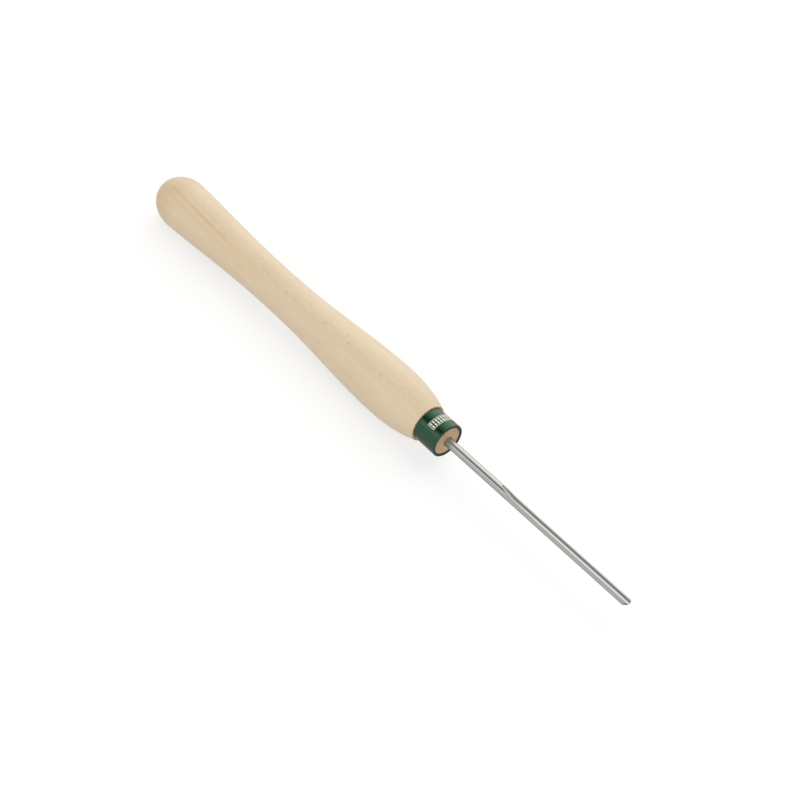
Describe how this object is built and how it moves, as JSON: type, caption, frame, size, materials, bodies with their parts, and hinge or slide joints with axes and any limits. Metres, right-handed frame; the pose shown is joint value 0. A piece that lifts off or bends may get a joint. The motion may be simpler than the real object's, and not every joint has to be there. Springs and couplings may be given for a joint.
{
  "type": "spindle gouge",
  "caption": "Woodturning spindle gouge: turned beech handle with a waist and belly, green tubular ferrule, and a slim round steel bar with a ground flute and a bevelled nose.",
  "frame": {"origin": "on the tool's axis, in the plane of the handle's shoulder, where the back end of the ferrule sits", "axes": "+X along the tool towards the nose of the blade, +Z the way the flute opens, +Y to the left of +X seen from above"},
  "size_m": [0.4764, 0.0396, 0.0396],
  "materials": {
    "beech": "satin clear lacquer on pale beech",
    "green_enamel": "gloss dark green over steel tube",
    "ground_steel": "fine ground bright tool steel",
    "set_epoxy": "clear amber set glue"
  },
  "bodies": {
    "root": {"handle": "beech", "ferrule": "green_enamel", "blade": "ground_steel", "epoxy_sleeve": "set_epoxy"}
  },
  "joints": []
}
